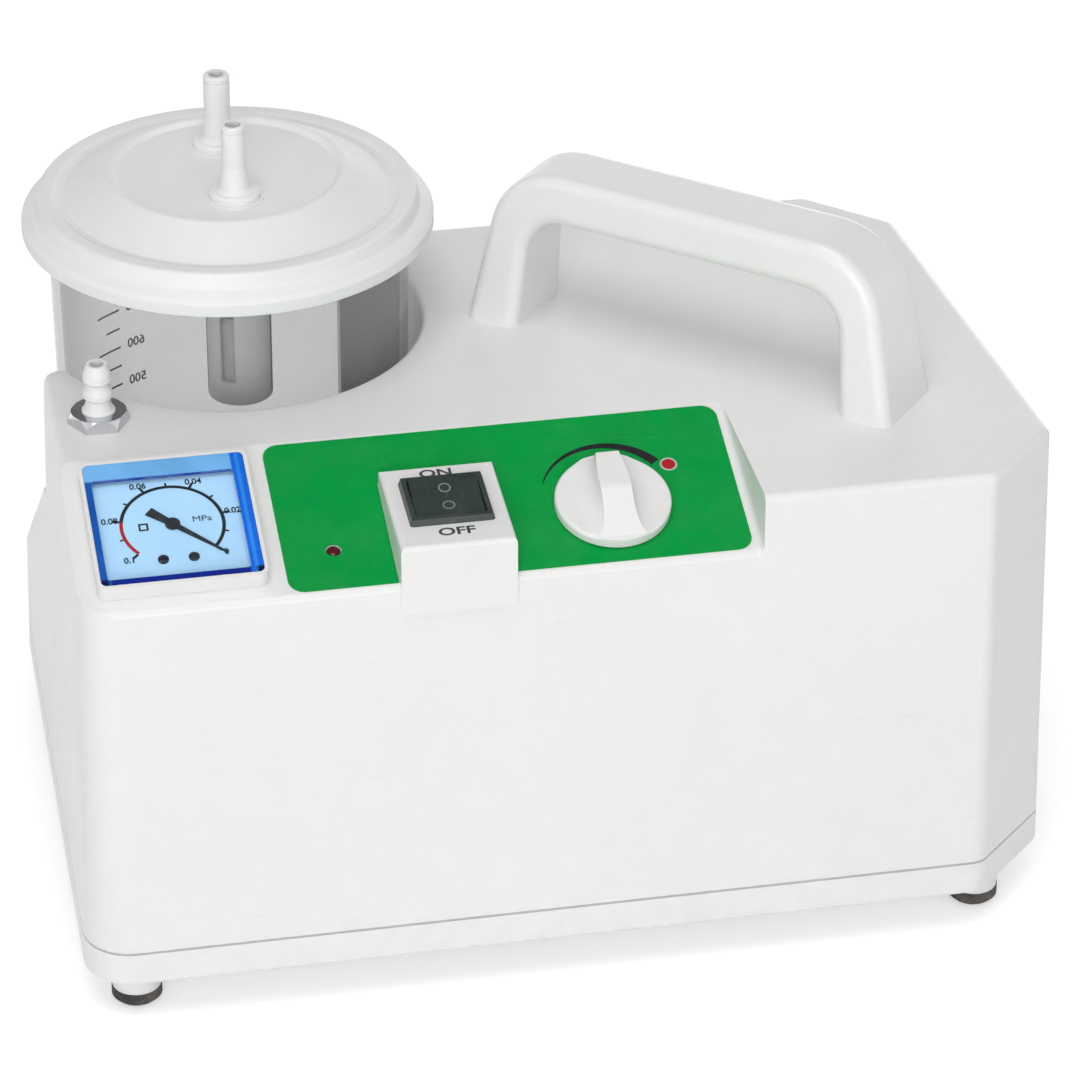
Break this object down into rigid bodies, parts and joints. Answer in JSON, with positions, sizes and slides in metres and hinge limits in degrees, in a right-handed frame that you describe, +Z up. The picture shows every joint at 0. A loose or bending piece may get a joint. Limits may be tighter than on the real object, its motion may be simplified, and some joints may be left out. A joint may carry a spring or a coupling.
{
  "type": "vacuum aspirator",
  "caption": "Portable tabletop suction unit: drafted housing with handle, slanted control panel, vacuum gauge, rocker switch, regulator knob, lidded collection jar and internal linear pump.",
  "frame": {"origin": "on the table under the middle of the housing's footprint", "axes": "+Z up, -Y towards the operator (front with the control panel), +X to the operator's right"},
  "size_m": [0.2814, 0.198, 0.2195],
  "materials": {
    "white_abs": "satin",
    "white_pp": "satin",
    "black_rubber": "matte",
    "steel": "satin",
    "green_label": "satin",
    "blue_plastic": "gloss",
    "pale_dial": "matte",
    "clear_window": "gloss",
    "black_metal": "satin",
    "dark_green_plastic": "gloss",
    "black_plastic": "matte",
    "brass": "satin",
    "red_lens": "gloss",
    "chrome": "polished",
    "clear_jar": "gloss",
    "silicone": "matte",
    "lamination": "matte",
    "coil_tape": "matte",
    "cast_aluminium": "satin",
    "spring_steel": "satin",
    "clear_hose": "satin",
    "float_plastic": "satin"
  },
  "bodies": {
    "housing_body": {"housing_shell": "white_abs", "base_tray": "white_abs", "foot_posts": "white_abs", "foot_pads": "black_rubber", "tray_screws": "steel", "carrying_handle": "white_abs", "handle_screws": "steel", "control_label": "green_label", "gauge_case": "white_abs", "gauge_dial": "pale_dial", "gauge_frame": "blue_plastic", "gauge_window": "clear_window", "dial_screws": "black_metal", "gauge_movement": "brass", "bourdon_tube": "brass", "gauge_stem": "brass", "switch_boss": "white_abs", "switch_body": "black_plastic", "switch_terminals": "brass", "valve_body": "brass", "valve_nut": "brass", "indicator_lamp": "red_lens", "suction_port": "white_pp", "port_nut": "chrome", "power_inlet": "black_plastic", "inlet_pins": "brass", "fuse_holder": "black_plastic", "pump_mounts": "black_rubber", "pump_bracket": "steel", "pump_core": "lamination", "tie_rods": "steel", "pump_coils": "coil_tape", "pump_cylinder": "cast_aluminium", "pump_head": "cast_aluminium", "head_screws": "steel", "exhaust_silencer": "black_plastic", "pump_spring": "spring_steel", "pump_hose": "clear_hose", "suction_hose": "clear_hose", "gauge_hose": "clear_hose"},
    "jar_body": {"jar": "clear_jar"},
    "lid_body": {"jar_lid": "white_pp", "lid_gasket": "silicone", "patient_nipple": "white_pp", "vacuum_nipple": "white_pp", "float_cage": "white_pp"},
    "float_body": {"overflow_float": "float_plastic"},
    "rocker_body": {"switch_rocker": "dark_green_plastic"},
    "knob_body": {"regulator_knob": "white_abs", "valve_spindle": "brass"},
    "needle_body": {"gauge_needle": "black_metal"},
    "piston_body": {"pump_piston": "steel"},
    "fuse_cap_body": {"fuse_cap": "black_plastic"}
  },
  "joints": [
    {"name": "jar_lift", "type": "slide", "parent": "housing_body", "child": "jar_body", "axis": [0, 0, 1], "range_m": [0, 0.12]},
    {"name": "lid_lift", "type": "slide", "parent": "jar_body", "child": "lid_body", "axis": [0, 0, 1], "range_m": [0, 0.08]},
    {"name": "float_rise", "type": "slide", "parent": "lid_body", "child": "float_body", "axis": [0, 0, 1], "range_m": [0, 0.0258]},
    {"name": "rocker_pivot", "type": "hinge", "parent": "housing_body", "child": "rocker_body", "pos_m": [-0.0344, -0.07639, 0.14659], "axis": [1, 0, 0], "range_deg": [-14, 0]},
    {"name": "regulator_turn", "type": "hinge", "parent": "housing_body", "child": "knob_body", "pos_m": [0.0123, -0.0747, 0.13917], "axis": [0, -0.3008, 0.9537], "range_deg": [-80, 80]},
    {"name": "needle_turn", "type": "hinge", "parent": "housing_body", "child": "needle_body", "pos_m": [-0.1088, -0.0685, 0.14113], "axis": [0, -0.3008, 0.9537], "range_deg": [0, 264]},
    {"name": "piston_stroke", "type": "slide", "parent": "housing_body", "child": "piston_body", "axis": [1, 0, 0], "range_m": [-0.004, 0.004], "deforming": ["pump_spring"]},
    {"name": "fuse_cap_turn", "type": "hinge", "parent": "housing_body", "child": "fuse_cap_body", "pos_m": [0.046, 0.08252, 0.05], "axis": [0, 0.9997, 0.0262], "range_deg": [0, 90]}
  ]
}
